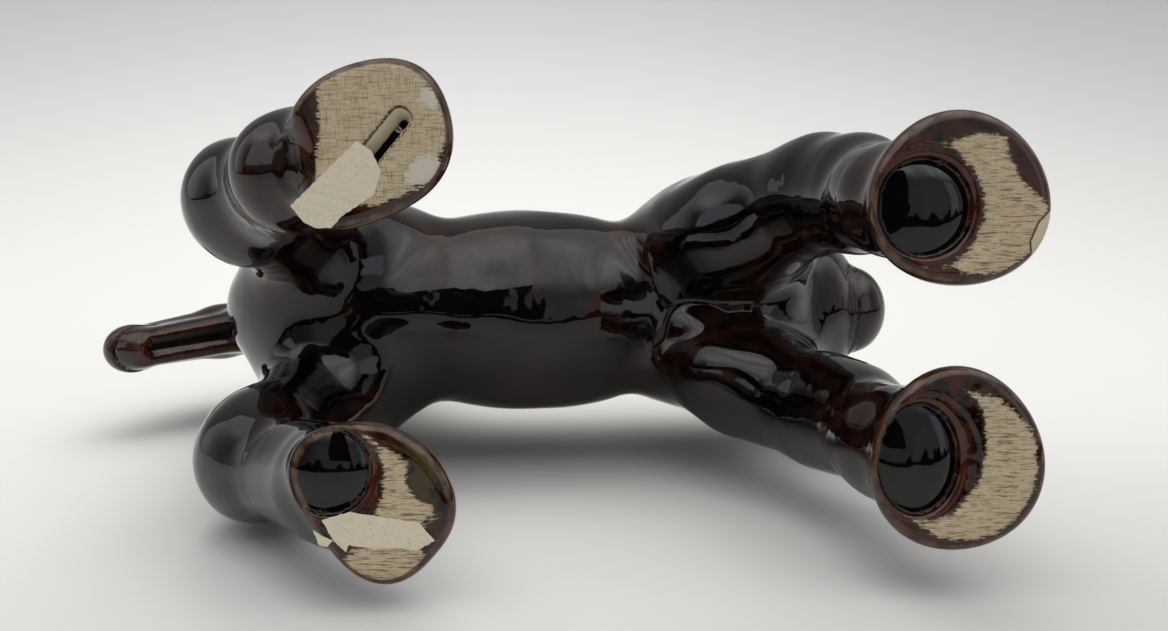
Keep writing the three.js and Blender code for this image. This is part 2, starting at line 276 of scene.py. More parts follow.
def slit(p):
    """A round-ended slit whose upper wall slopes, so that the wall shows from beneath."""
    across, along = turned(p[..., 0], p[..., 1], *SLIT["at"], SLIT["turn"])
    sunk = SLIT["slope"] * np.clip(p[..., 2] / SLIT["slope_deep"], 0, 1)
    half = (SLIT["width"] - sunk) / 2
    past = np.maximum(np.abs(along) - SLIT["length"] / 2 + half + sunk * SLIT["end_slope"], 0)
    return np.maximum(np.hypot(past, across + sunk / 2) - half, p[..., 2] - SLIT["deep"])


def dish(p, rim, half, dome, dome_half, deep, lean):
    """Below its floor this is negative: the floor sinks from the rim to the foot of the dome, then rises over
    it. The dome's top leans off its middle by a share of its half size."""
    from_rim = np.hypot((p[..., 0] - rim[0]) / half[0], (p[..., 1] - rim[1]) / half[1])
    over_x = (p[..., 0] - dome[0]) / dome_half[0]
    over_y = (p[..., 1] - dome[1]) / dome_half[1]
    from_dome = np.hypot(over_x, over_y)
    rise = np.maximum(1 - from_dome ** 2, 0)
    from_top = np.hypot(over_x - lean[0] * rise, over_y - lean[1] * rise)
    inward = np.maximum(1 - from_rim, 0)
    outward = np.maximum(from_dome - 1, 0)
    out = outward / (outward + inward + 1e-6)
    dish_floor = deep * (1 - out) ** DISH_FLAT
    sag = (1 - np.sqrt(1 - DOME_ROUND * np.minimum(from_top, 1) ** 2)) / (1 - math.sqrt(1 - DOME_ROUND))
    dome_floor = DOME_BELOW + (deep - DOME_BELOW) * sag
    # A dome that reaches its rim stays shallow there, so that it doesn't cut through the edge of the foot.
    side = (1 - from_rim) * min(half) * DISH_STEEP
    floor = np.minimum(np.where(from_dome < 1, dome_floor, dish_floor), side)
    return (p[..., 2] - floor) * DISH_EASE


print(len(DISHES), "dishes, and a slit", SLIT["length"], "mm long")

# %% [markdown]
# The head and mane are plain, as the picture shows only the underside of the jaw: two jaw bones with a
# channel between them, and a chin that stands clear of the muzzle. The mane is a low roll of slanting locks,
# and the docked tail is tied up in a bun with a band round its root.

# %% Carving of the head, mane and tail
EAR_LENGTH = 22
EAR_WIDE = 5
EAR_SUNK = 4
EAR_FLAT = 0.62
EARS = [
    dict(foot=(0.5, -103, 229), lean=(0.2, -0.12, 1)),
    dict(foot=(-12.5, -103.5, 229), lean=(-0.24, -0.16, 1)),
]
EYE = 2.7
EYES = [(0.6, -123, 211), (-18.4, -124.5, 210.5)]
NOSTRIL_HALF = (1.4, 1.7, 2.4)
NOSTRILS = [(-10.6, -169.6, 171.5), (-20.4, -170.2, 171.5)]
JAW_CHANNEL = [(-10, -121, 181.2, 4.4), (-14.6, -149.4, 159.6, 3.8)]
MOUTH = dict(at=(-15.7, -161, 165.2), deep=1.3, thick=0.9, back=11)
FORELOCK = [(-6.5, -104, 235, 4.4), (-9, -124, 217.5, 2.2)]
LOCK_DEEP = 0.55
LOCK_WIDE = 5.2
BAND = dict(y=99.5, thick=1.6, deep=1.3)
STRAND_DEEP = 0.3
STRAND_WIDE = 2.9


def ear(p, foot, lean):
    up = unit(lean)
    side = unit(np.array([1.0, 0, 0]) - up * up[0])
    back = np.cross(up, side)
    q = p - np.array(foot, float)
    t = (q @ up + EAR_SUNK) / EAR_LENGTH
    wide = EAR_WIDE * np.sin(math.pi * (0.3 + 0.66 * np.clip(t, 0, 1))) ** 0.8
    s, f = q @ side, q @ back
    flat = wide * EAR_FLAT
    shell = (np.hypot(s / wide, f / flat) - 1) * flat
    cup = (np.hypot(s / (wide * 0.62), (f + flat * 1.05) / (flat * 1.15)) - 1) * flat
    shell = np.maximum(shell, (t - 1) * EAR_LENGTH)
    return np.maximum(carve(shell, np.maximum(cup, (0.3 - t) * EAR_LENGTH), 0.8), (-0.1 - t) * EAR_LENGTH)


def head(p):
    d = blend(bar(p, *FOREHEAD, HEAD_FLAT), bar(p, *NOSE, HEAD_FLAT), SOFT_HEAD)
    d = blend(d, ball(p, **CHEEK), SOFT_HEAD)
    d = blend(d, bar(p, *JAW), SOFT_HEAD)
    d = blend(d, ball(p, **MUZZLE), SOFT_HEAD)
    d = blend(d, ball(p, **CHIN), SOFT_HEAD / 2)
    d = carve(d, bar(p, *JAW_CHANNEL), 2.0)
    way = unit(np.array(NOSE[1][:3]) - np.array(NOSE[0][:3]))
    q = p - np.array(MOUTH["at"], float)
    lift = q @ np.array([0, way[2], -way[1]])
    lips = np.maximum(np.abs(lift) - MOUTH["thick"] / 2, -MOUTH["deep"] - d)
    d = carve(d, np.maximum(lips, -MOUTH["back"] - q @ way), 1.2)
    for at in EYES:
        d = carve(d, ball(p, at, (EYE * 0.9, EYE * 1.7, EYE * 1.2)), 1.6)
        d = np.minimum(d, ball(p, at, (EYE * 0.85,) * 3) + 0.1)
        over = (at[0], at[1] + 1, at[2] + EYE * 1.25)
        d = blend(d, ball(p, over, (1.7, EYE * 1.7, 1.5)), 2.2)
    for at in NOSTRILS:
        d = carve(d, ball(p, at, NOSTRIL_HALF), 1.0)
    return d


def locks(p, d, near):
    """Slanting locks along the mane, strongest close to the given run of bars."""
    along = unit(np.array(CREST[-1][:3]) - np.array(CREST[0][:3]))
    phase = (p @ along + np.abs(p[..., 0] - CREST[1][0]) * 0.7) * 2 * math.pi / LOCK_WIDE
    return d - LOCK_DEEP * np.abs(np.sin(phase / 2)) * (1 - ramp(near, 0.5, 6))


def tail(p, d):
    bun = ball(p, **BUN)
    d = blend(d, bun, SOFT_HEAD / 2)
    band = np.maximum(np.abs(p[..., 1] - BAND["y"]) - BAND["thick"] / 2, -BAND["deep"] - d)
    d = carve(d, np.maximum(band, bun - 1.5), 1.2)
    strand = np.cos((p[..., 1] + 0.1 * p[..., 2]) * 2 * math.pi / STRAND_WIDE)
    return d - STRAND_DEEP * strand * (1 - ramp(np.abs(bun), 0.5, 2)) * (1 - ramp(p[..., 1], 104, 113))


print(len(EARS), "ears,", len(EYES), "eyes and", len(NOSTRILS), "nostrils")

# %% [markdown]
# A form modelled by hand and cast in slip is never quite even, and a glassy glaze shows every swelling. Slow
# waves in five directions give the skin above the feet that unevenness, which the solid doesn't have.

# %% The whole horse
WOBBLES = [
    ((0.17, 0.09, -0.13), 0.14, 0.4), ((-0.11, 0.20, 0.08), 0.14, 1.9), ((0.06, 0.14, 0.24), 0.12, 4.1),
    ((0.38, -0.21, 0.16), 0.04, 2.2), ((-0.14, 0.33, 0.30), 0.035, 5.0),
]
WOBBLE_ABOVE = (20, 50)


def wobble(p):
    return sum(deep * np.sin(p @ np.array(pace) + start) for pace, deep, start in WOBBLES)


def only_in(low, high, p, d, change):
    """The field d with a change made to it at the points inside a box alone."""
    near = np.all((p > np.array(low, float)) & (p < np.array(high, float)), axis=-1)
    if not near.any():
        return d
    d = d.copy()
    d[near] = change(p[near], d[near])
    return d


def leg_box(mass, line, sole, **rest):
    """The lowest and highest corner of the space in which a leg changes the field."""
    places = [np.array(v, float) for v in [*(v[:3] for v in line), (*sole[:2], 0), mass["at"]]]
    spread = [np.full(3, v[3]) for v in line] + [np.full(3, max(sole[2:]))] + [np.array(mass["half"])]
    low = np.min([v - r for v, r in zip(places, spread)], axis=0) - LEG_MARGIN
    high = np.max([v + r for v, r in zip(places, spread)], axis=0) + LEG_MARGIN
    return low, high


def head_and_mane(p, d):
    crest = chain(p, CREST, SOFT_JOINT)
    d = blend(d, head(p), SOFT_JOINT)
    d = locks(p, d, crest)
    d = blend(d, bar(p, *FORELOCK), 2.5)
    for one in EARS:
        d = blend(d, ear(p, **one), 2.0)
    return d


def soles(p, d):
    toe_x = (p[..., 0] - SOFT_TOE["at"][0]) / SOFT_TOE["half"][0]
    toe_y = (p[..., 1] - SOFT_TOE["at"][1]) / SOFT_TOE["half"][1]
    rounding = RIM_ROUND * 2 + SOFT_TOE["round"] * (1 - ramp(np.hypot(toe_x, toe_y), 0.3, 1))
    d = -blend(-d, p[..., 2], rounding)
    d = carve(d, slit(p), 0.8)
    for one in DISHES:
        d = carve(d, dish(p, **one), 1.2)
    return d


LEG_MARGIN = 18
HEAD_BOX = ((-50, -200, 135), (40, -30, 275))
TAIL_BOX = ((-40, 70, 108), (40, 145, 190))
SOLE_BOX = ((-100, -120, -40), (100, 150, 26))


def horse(p):
    """The field of the whole horse at points p, in millimetres."""
    d = ball(p, **BELLY)
    for one in (CHEST, GIRTH, RUMP):
        d = blend(d, ball(p, **one), SOFT_TRUNK)
    for one in (WITHERS, LOIN):
        d = blend(d, bar(p, *one), SOFT_TRUNK)
    neck = blend(bar(p, *NECK_LOW, NECK_FLAT[0]), bar(p, *NECK_TOP, NECK_FLAT[1]), SOFT_LIMB)
    d = blend(d, blend(neck, chain(p, CREST, SOFT_JOINT), SOFT_LIMB), SOFT_TRUNK)
    for one in LEGS.values():
        d = only_in(*leg_box(**one), p, d, lambda q, e: blend(e, leg(q, **one), SOFT_LIMB))
    d = blend(d, ball(p, **CROTCH), SOFT_JOINT)
    d = blend(d, ball(p, **GROIN), SOFT_HEAD)
    d = blend(d, bar(p, *DOCK), SOFT_HEAD)
    d = d + wobble(p) * ramp(p[..., 2], *WOBBLE_ABOVE)
    d = only_in(*HEAD_BOX, p, d, head_and_mane)
    d = only_in(*TAIL_BOX, p, d, tail)
    return only_in(*SOLE_BOX, p, d, soles)


print("field at the middle of the belly:", horse(np.array([[0.0, -10.0, 134.0]])).round(1), "mm")

# %% [markdown]
# The skin is found on a grid whose spacing is close at the feet and head and wider along the trunk. Most of
# the grid is far from the skin, so a coarse pass picks the blocks worth looking at. Each grid box that the
# skin passes through gets one corner, and each grid line that it crosses gets one square.

# %% Finding the skin
BLOCK = 4
BATCH = 160
REACH_MORE = 1.05
CLOSE = 1.36
WIDE = 2.0


def grid_lines(low, high, spacing):
    places = [low]
    while places[-1] < high or (len(places) - 1) % BLOCK:
        places.append(places[-1] + spacing(places[-1]))
    return np.array(places)


def eight_corners(grid):
    """The grid's values at each of the eight corners of its boxes."""
    ends = (slice(0, -1), slice(1, None))
    return [grid[i, j, k] for i in ends for j in ends for k in ends]


def sample(field, axes):
    """The field on the grid, worked out only in blocks near the skin, and a rough value elsewhere."""
    coarse = [a[::BLOCK] for a in axes]
    nodes = np.stack(np.meshgrid(*coarse, indexing="ij"), -1)
    rough = field(nodes.reshape(-1, 3)).reshape(nodes.shape[:3])
    value = np.zeros([len(a) for a in axes], np.float32)
    filled = rough[:-1, :-1, :-1]
    for axis in range(3):
        filled = np.repeat(filled, BLOCK, axis=axis)
    value[:-1, :-1, :-1] = filled
    value[-1], value[:, -1], value[:, :, -1] = 1, 1, 1
    reach = BLOCK * max(np.diff(a).max() for a in axes) * REACH_MORE
    near = np.argwhere(np.min(np.abs(eight_corners(rough)), axis=0) <= reach) * BLOCK
    steps = np.arange(BLOCK + 1)
    for start in range(0, len(near), BATCH):
        part = near[start:start + BATCH]
        i = (part[:, 0, None] + steps)[:, :, None, None]
        j = (part[:, 1, None] + steps)[:, None, :, None]
        k = (part[:, 2, None] + steps)[:, None, None, :]
        points = np.stack(np.broadcast_arrays(axes[0][i], axes[1][j], axes[2][k]), -1)
        value[i, j, k] = field(points.reshape(-1, 3)).reshape(points.shape[:4])
    return value


def skin(value, axes):
    """Corners and squares of the surface where the sampled field is nought."""
    inside = value < 0
    total = sum(e.astype(np.int8) for e in eight_corners(inside))
    cells = np.argwhere((total > 0) & (total < 8))
    number = np.full(total.shape, -1, np.int32)
    number[tuple(cells.T)] = np.arange(len(cells))
    summed = np.zeros((len(cells), 3))
    hits = np.zeros(len(cells))
    for axis in range(3):
        for a in (0, 1):
            for b in (0, 1):
                start = cells.copy()
                start[:, (axis + 1) % 3] += a
                start[:, (axis + 2) % 3] += b
                end = start.copy()
                end[:, axis] += 1
                va, vb = value[tuple(start.T)], value[tuple(end.T)]
                crossed = (va < 0) != (vb < 0)
                t = np.where(crossed, va / np.where(crossed, va - vb, 1), 0)
                for m in range(3):
                    place = axes[m][start[:, m]] + (axes[m][end[:, m]] - axes[m][start[:, m]]) * t
                    summed[:, m] += np.where(crossed, place, 0)
                hits += crossed
    corners = summed / hits[:, None]
    squares = []
    for axis in range(3):
        u, v = (axis + 1) % 3, (axis + 2) % 3
        low = [slice(None)] * 3
        high = [slice(None)] * 3
        low[axis], high[axis] = slice(0, -1), slice(1, None)
        changed = np.argwhere(inside[tuple(low)] != inside[tuple(high)])
        changed = changed[(changed[:, u] > 0) & (changed[:, v] > 0)]
        changed = changed[(changed[:, u] < total.shape[u]) & (changed[:, v] < total.shape[v])]
        ring = []
        for s, t in ((0, 0), (1, 0), (1, 1), (0, 1)):
            cell = changed.copy()
            cell[:, u] -= s
            cell[:, v] -= t
            ring.append(number[tuple(cell.T)])
        ring = np.stack(ring, 1)
        outward = inside[tuple(changed.T)]
        squares.append(np.where(outward[:, None], ring, ring[:, ::-1]))
    return corners, np.concatenate(squares)


TETRAHEDRON = np.array([(1, 1, 1), (1, -1, -1), (-1, 1, -1), (-1, -1, 1)], float)
CHUNK = 20000


def slope(field, p, step=0.02):
    """The field's value and its slope at p, from four points round it."""
    value = np.empty(len(p))
    made = np.empty((len(p), 3))
    for start in range(0, len(p), CHUNK):
        part = slice(start, start + CHUNK)
        four = [field(p[part] + way * step) for way in TETRAHEDRON]
        value[part] = sum(four) / 4
        made[part] = sum(v[:, None] * way for v, way in zip(four, TETRAHEDRON)) / (4 * step)
    return value, made


def drawn_back(field, p):
    """Points moved along the slope to where the field is nought."""
    value, steep = slope(field, p)
    size = np.linalg.norm(steep, axis=1) + 1e-9
    return p - steep / size[:, None] * np.clip(value / size, -1.0, 1.0)[:, None]


def settle(field, corners, squares, rounds):
    """Evens the corners out between their neighbours and draws each back onto the skin."""
    a = squares.ravel()
    b = np.roll(squares, -1, axis=1).ravel()
    count = np.bincount(np.concatenate([a, b]), minlength=len(corners))[:, None]
    for n in range(rounds):
        summed = np.zeros_like(corners)
        for m in range(3):
            summed[:, m] = np.bincount(a, corners[b, m], len(corners))
            summed[:, m] += np.bincount(b, corners[a, m], len(corners))
        corners = drawn_back(field, corners * 0.5 + summed / count * 0.5)
    return corners


GRID_X = (-75.0, 75.0)
GRID_Y = (-180.0, 128.0)
GRID_Z = (-3.0, 252.0)
TRUNK_Y = (-60, 55)
TRUNK_Z = (60, 150)
ACROSS = 1.1
axes = (
    grid_lines(*GRID_X, lambda x: CLOSE * ACROSS),
    grid_lines(*GRID_Y, lambda y: WIDE if TRUNK_Y[0] < y < TRUNK_Y[1] else CLOSE),
    grid_lines(*GRID_Z, lambda z: WIDE if TRUNK_Z[0] < z < TRUNK_Z[1] else CLOSE),
)
value = sample(horse, axes)
corners, squares = skin(value, axes)
corners = settle(horse, corners, squares, 2)
print(len(corners), "corners and", len(squares), "squares")
print("box", corners.min(0).round(1), corners.max(0).round(1))

# %% [markdown]
# The modeller's frame is moved so that the middle of the horse's box stands on the frame's origin, as the
# solid does, and millimetres become metres.

# %% The horse as a piece
shift = np.array([*-(corners.min(0) + corners.max(0))[:2] / 2, 0.0])
print("shift of the modelling frame", shift.round(2))


def placed(p):
    return (np.asarray(p, float) + shift) / 1000


def make_mesh(name, points, faces):
    mesh = bpy.data.meshes.new(name)
    mesh.from_pydata(points.tolist(), [], faces if isinstance(faces, list) else faces.tolist())
    mesh.update()
    mesh.shade_smooth()
    made = bpy.data.objects.new(name, mesh)
    bpy.context.scene.collection.objects.link(made)
    return made


cast = make_mesh("horse_casting", corners, squares)
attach(cast, "root")
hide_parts("horse")

# %% [markdown]
# The soles fill much of the picture, and their dishes and rims are small. So the mesh is split once more
# there, and every corner is then drawn back towards the skin. The field also gives each corner its normal.

# %% Closer mesh at the soles
SPLIT_BELOW = 5.0


def split_low(piece, below, cuts):
    made = bmesh.new()
    made.from_mesh(piece.data)
    low = [e for e in made.edges if max(v.co.z for v in e.verts) < below]
    bmesh.ops.subdivide_edges(made, edges=low, cuts=cuts, use_grid_fill=True)
    made.to_mesh(piece.data)
    made.free()


def read_corners(mesh):
    flat = np.empty(len(mesh.vertices) * 3)
    mesh.vertices.foreach_get("co", flat)
    return flat.reshape(-1, 3)


split_low(cast, SPLIT_BELOW, 1)
corners = read_corners(cast.data)
for n in range(2):
    corners = drawn_back(horse, corners)
value, steep = slope(horse, corners)
normals = steep / (np.linalg.norm(steep, axis=1, keepdims=True) + 1e-9)
cast.data.vertices.foreach_set("co", placed(corners).ravel())
cast.data.update()
cast.data.shade_smooth()
cast.data.normals_split_custom_set_from_vertices(normals.tolist())
cast.data.calc_loop_triangles()
print(len(cast.data.loop_triangles), "triangles; furthest from the skin", np.abs(value).max().round(3), "mm")

# %% [markdown]
# Glaze lies thin on edges and ribs and thick in hollows. How far the skin bulges is measured with the field
# itself, a few millimetres round each corner, and kept on the mesh for the material to read. So is how far
# each corner lies from its foot's outline, for the lighter line where the glaze breaks over the rim, and how
# far it lies from the chip at the edge of the left hind foot.

# %% How far the skin bulges, and the edges of the feet
BULGE_REACH = 2.5


def in_chunks(work, p):
    return np.concatenate([work(p[start:start + CHUNK]) for start in range(0, len(p), CHUNK)])


def bulge(p):
    value = in_chunks(horse, p)
    around = sum(in_chunks(horse, p + way * BULGE_REACH / math.sqrt(3)) for way in TETRAHEDRON) / 4
    return (around - value) / BULGE_REACH


def from_edge(p):
    """Millimetres outside the nearest foot's outline at the ground."""
    flat = p.copy()
    flat[:, 2] = np.minimum(flat[:, 2], EDGE_HEIGHT)
    feet = [bell(flat, one["ankle"], one["sole"], one["turn"], one["waves"], 0.0) for one in LEGS.values()]
    return np.min(feet, axis=0)


CHIP = [(30.6, 121.4), (27.8, 122.0), (19.0, 117.9), (18.5, 116.3), (22.1, 115.5), (27.3, 117.8)]


def from_outline(p, outline):
    """Millimetres outside a closed outline of straight edges, negative inside it."""
    ends = np.array(outline, float)
    nearest = np.full(len(p), np.inf)
    inside = np.zeros(len(p), bool)
    for a, b in zip(ends, np.roll(ends, -1, axis=0)):
        t = np.clip((p[:, :2] - a) @ (b - a) / ((b - a) @ (b - a)), 0, 1)
        nearest = np.minimum(nearest, np.linalg.norm(p[:, :2] - a - t[:, None] * (b - a), axis=1))
        crosses = (a[1] > p[:, 1]) != (b[1] > p[:, 1])
        level = b[1] - a[1] if b[1] != a[1] else 1.0
        inside ^= crosses & (p[:, 0] < (b[0] - a[0]) * (p[:, 1] - a[1]) / level + a[0])
    return np.where(inside, -nearest, nearest)


def keep_on_mesh(piece, name, values):
    made = piece.data.attributes.new(name, "FLOAT", "POINT")
    made.data.foreach_set("value", values.astype(np.float32))


bulges = bulge(corners)
keep_on_mesh(cast, "bulge", bulges)
keep_on_mesh(cast, "from_edge", from_edge(corners))
keep_on_mesh(cast, "chip", np.clip(from_outline(corners, CHIP), -9, 9))
print("bulge in tenths of the corners", np.percentile(bulges, range(0, 101, 10)).round(3))

# %% [markdown]
# Shader sums are written as ordinary sums. A Wire holds one socket, and its operators add the Math node that
# does the sum. Colours go through Mix nodes and vectors through Vector Math nodes.


# %% A small language for shaders
def sums(operation):
    """The sum with the wire first, and the same sum with the wire last."""
    return (
        lambda wire, *others: wire.look.maths(operation, wire, *others),
        lambda wire, *others: wire.look.maths(operation, *others, wire),
    )


class Wire:
    __add__, __radd__ = sums("ADD")
    __sub__, __rsub__ = sums("SUBTRACT")
    __mul__, __rmul__ = sums("MULTIPLY")
    __truediv__ = sums("DIVIDE")[0]
    least = sums("MINIMUM")[0]
    most = sums("MAXIMUM")[0]
    size = sums("ABSOLUTE")[0]
    root = sums("SQRT")[0]

    def __init__(self, look, socket):
        self.look = look
        self.socket = socket

    def __neg__(self):
        return self * -1.0

    def below(self, edge, soft):
        """1 well below the edge, 0 well above it."""
        return 1.0 - self.between(edge - soft / 2, edge + soft / 2)

    def hump(self, middle, half):
        """1 at the middle and 0 beyond half to either side of it."""
        return (self - middle).size().below(half * 0.5, half)

    def between(self, low, high):
        """0 at low, 1 at high, and a smooth step from one to the other."""
        return self.look.node("ShaderNodeMapRange", dict(interpolation_type="SMOOTHSTEP"),
                              {"Value": self, "From Min": low, "From Max": high})


class Look:
    def __init__(self, name):
        self.material = bpy.data.materials.new(name)
        self.material.use_nodes = True
        self.tree = self.material.node_tree
        self.tree.nodes.clear()
        self.output = self.tree.nodes.new("ShaderNodeOutputMaterial")

    def plug(self, socket, value):
        if isinstance(value, Wire):
            self.tree.links.new(value.socket, socket)
        elif isinstance(value, (tuple, list)) and len(value) == 3 and len(socket.default_value) == 4:
            socket.default_value = (*value, 1.0)
        else:
            socket.default_value = value

    def node(self, kind, settings=None, inputs=None, out=0):
        made = self.tree.nodes.new(kind)
        for key, value in (settings or {}).items():
            setattr(made, key, value)
        for key, value in (inputs or {}).items():
            self.plug(made.inputs[key], value)
        return Wire(self, made.outputs[out])

    def maths(self, operation, *values):
        return self.node("ShaderNodeMath", dict(operation=operation), dict(enumerate(values)))

    def mix(self, amount, a, b):
        return self.node("ShaderNodeMix", dict(data_type="RGBA"), {"Factor": amount, 6: a, 7: b}, out=2)

    def lerp(self, amount, a, b):
        """A value that is a where the amount is 0 and b where it is 1."""
        return self.node("ShaderNodeMix", dict(data_type="FLOAT"), {"Factor": amount, 2: a, 3: b}, out=0)

    def split(self, vector):
        first = self.node("ShaderNodeSeparateXYZ", None, {0: vector})
        return [Wire(self, socket) for socket in first.socket.node.outputs]

    def noise(self, vector, scale, detail=2.0, rough=0.5):
        return self.node("ShaderNodeTexNoise", None,
                         {"Vector": vector, "Scale": scale, "Detail": detail, "Roughness": rough})

    def stretch(self, vector, factors):
        return self.node("ShaderNodeVectorMath", dict(operation="MULTIPLY"), {0: vector, 1: factors})

    def place(self):
        """Object coordinates in millimetres of the modelling frame, whole and as x, y and z."""
        metres = self.node("ShaderNodeTexCoord", out=3)
        whole = self.stretch(metres, (1000, 1000, 1000))
        whole = self.node("ShaderNodeVectorMath", dict(operation="SUBTRACT"), {0: whole, 1: tuple(shift)})
        return whole, *self.split(whole)

    def attribute(self, name):
        return self.node("ShaderNodeAttribute", dict(attribute_name=name), out=2)

    def finish(self, surface):
        shader = self.node("ShaderNodeBsdfPrincipled", None, surface)
        self.tree.links.new(shader.socket, self.output.inputs["Surface"])
        return self.material


# %% [markdown]
# The finish is a thick, glassy, treacle-brown glaze over a beige clay body. It is nearly black where it is
# thick, red-brown where it runs thin, and light brown where it breaks over the rims of the feet. On the soles
# the glaze was wiped off before firing, which left patches of bare clay. Each patch is an oval less the ovals
# that run glaze covers, if any, and its edge is ragged along the strokes of the wiping.

# %% Where the clay is bare
BARE = [
    dict(clay=(31.8, 102.4, 18.1, 18.2, 0), runs=[(31.2, 86.1, 17.0, 17.0), (51.0, 130.3, 21.5, 21.6)]),
    dict(clay=(-35.9, 99.0, 19.5, 19.3, 0), runs=[(-30.3, 87.7, 19.6, 16.7)]),
    dict(clay=(-37.6, -51.2, 16.2, 7.5, 132.5), runs=[(-37.9, -66.7, 16.4, 16.4), (-36.0, -37.6, 8.0, 7.0)]),
    dict(clay=(-59.3, -49.5, 6.2, 10.6, 3), runs=[]),
    dict(clay=(48.6, -53.0, 19.6, 17.1, 57.2), runs=[(52.0, -95.5, 40.0, 30.0)]),
]


def oval(x, y, at_x, at_y, half_x, half_y, turn=0.0):
    """Millimetres outside an oval in the plane of the soles, negative inside it."""
    u, v = turned(x, y, at_x, at_y, turn)
    across =((u / half_x) * (u / half_x) + (v / half_y) * (v / half_y)).root()
    return (across - 1.0) * min(half_x, half_y)


look = Look("treacle_glaze_and_clay")
whole, x, y, z = look.place()
strokes = look.noise(look.stretch(whole, (1.5, 0.42, 1.0)), 1.0, 4.0, 0.62)
swell = look.noise(whole, 0.22, 2.0)
rag = (strokes - 0.5) * 5.0 + (swell - 0.5) * 2.2
patches = []
for one in BARE:
    covered = [-oval(x, y, *run) for run in one["runs"]]
    patches.append(reduce(Wire.most, covered, oval(x, y, *one["clay"])))
bare = reduce(Wire.least, patches) + rag
chip = look.attribute("chip")
on_sole = z.below(0.45, 0.3)
clay_mask = bare.below(0.0, 0.16) * on_sole
clay_edge = bare.hump(0.30, 1.0) * on_sole
print(len(look.tree.nodes), "nodes find the bare clay")

# %% [markdown]
# Bare clay shows the strokes of the sponge as fine brown lines, one way on three feet and both ways on the
# foot with the slit. The slit goes through the clay: its wall is clean and pale, and deeper in it is painted
# near black, a painted shade.

# %% The bare clay
CLAY = (0.52, 0.41, 0.26)
CLAY_PALE = (0.60, 0.51, 0.36)
CLAY_LINE = (0.075, 0.045, 0.021)
CLAY_STAIN = (0.24, 0.17, 0.095)
EDGE_BROWN = (0.040, 0.019, 0.009)
SLIT_WALL = (0.60, 0.52, 0.37)
# Painted shade: the near black painted deep inside the slit.
SLIT_PAINTED_SHADE = (0.006, 0.005, 0.005)
WHITE_SPOT = (0.56, 0.52, 0.43)
WHITE_SPOTS = [(39.4, -39.8, 3.4, 4.6, -35), (57.6, -38.4, 2.6, 2.4, 0)]

fine = look.noise(look.stretch(whole, (2.1, 0.15, 1.0)), 1.0, 4.0, 0.65)
finer = look.noise(look.stretch(whole, (4.4, 0.45, 1.0)), 1.0, 3.0, 0.6)
crossed = look.noise(look.stretch(whole, (0.22, 2.4, 1.0)), 1.0, 3.0, 0.6)
grain = look.noise(whole, 2.6, 3.0, 0.6)
both_ways = y.below(-20.0, 2.0) * x.between(10.0, 12.0)
lines = fine.between(0.51, 0.62) * 0.85 + finer.between(0.52, 0.64) * 0.5
lines = lines * (1.0 - both_ways * 0.4) + crossed.between(0.52, 0.66) * both_ways * 0.45
clay = look.mix(swell.between(0.35, 0.65) * 0.35, CLAY, CLAY_PALE)
clay = look.mix(grain.between(0.5, 0.72) * 0.45, clay, CLAY_STAIN)
clay = look.mix(lines.least(1.0) * 0.85, clay, CLAY_LINE)
each_spot = [(oval(x, y, *one) + (strokes - 0.5) * 7.0).below(0.0, 0.6) for one in WHITE_SPOTS]
spots = reduce(Wire.most, each_spot)
clay =look.mix(spots * on_sole, clay, WHITE_SPOT)
print(len(look.tree.nodes), "nodes with the bare clay's colours")

# %% [markdown]
# The slit's wall is pale about as far as it slopes; below that it is painted near black as painted shade, and
# its edge is stained. The slit's colours stop a little past its bottom, so that no part of the body above it
# is painted.

# %% The slit
slit_v, slit_u = turned(x, y, *SLIT["at"], SLIT["turn"])
slit_past = (slit_u.size() - (SLIT["length"] - SLIT["width"]) / 2).most(0.0)
from_slit = (slit_past * slit_past + slit_v * slit_v).root() - SLIT["width"] / 2
slit_near = from_slit.below(1.2, 0.4)
slit_stain = (from_slit + (grain - 0.5) * 2.4 + (strokes - 0.5) * 1.2).below(0.5, 0.3) * on_sole
clay = look.mix(slit_stain, clay, EDGE_BROWN)
in_slit = z.between(0.2, 0.5) * z.below(SLIT["deep"] + 1.0, 0.5) * slit_near
# Below the sloping wall the slit is painted near black, a painted shade in its depth.
wall = look.mix(z.between(4.2, 5.0), SLIT_WALL, SLIT_PAINTED_SHADE)
clay_mask = clay_mask.most(spots * on_sole).most(in_slit)
print(len(look.tree.nodes), "nodes with the slit")

# %% [markdown]
# The glaze is one glassy shader. Its colour is mixed from thick and thin glaze by how far the skin bulges and
# by broad clouds. Inside the rims of the feet it is warmer in patches, the domes are nearly black, and the
# right front foot has a green spot.

# %% The glaze
THICK = (0.0014, 0.0007, 0.0006)
WARM = (0.017, 0.0046, 0.0028)
THIN = (0.052, 0.0120, 0.0052)
RIM = (0.105, 0.055, 0.028)
RIM_DARK = (0.034, 0.013, 0.007)
GREEN = (0.042, 0.034, 0.008)
GREEN_OVAL = (-35.0, -41.0, 9.0, 8.0)

bulge_here = look.attribute("bulge")
from_edge_here = look.attribute("from_edge")
clouds = look.noise(whole, 0.030, 3.0, 0.55)
mottle = look.noise(whole, 0.16, 3.0, 0.6)
thin = bulge_here.between(0.02, 0.11) * 0.6 + clouds.between(0.44, 0.60) * 0.85
thin = (thin * (0.45 + mottle.between(0.40, 0.58) * 0.75)).most(0.0).least(1.0)
colour = look.mix(thin, THICK, WARM)
colour = look.mix((thin * bulge_here.between(0.06, 0.14)).least(1.0), colour, THIN)
dish_floor = z.below(4.6, 0.6) * from_edge_here.below(-2.4, 0.8)
each_dome = [oval(x, y, *one["dome"], *one["dome_half"]).below(-0.2, 0.5) for one in DISHES]
domes = reduce(Wire.most, each_dome)
dish_floor = dish_floor * (1.0 - domes)
colour = look.mix(domes * z.below(5.0, 0.5), colour, THICK)
colour = look.mix(dish_floor * mottle.between(0.40, 0.58) * 0.8, colour, THIN)
olive = oval(x, y, *GREEN_OVAL).below(0.0, 3.0) * z.below(4.6, 0.6)
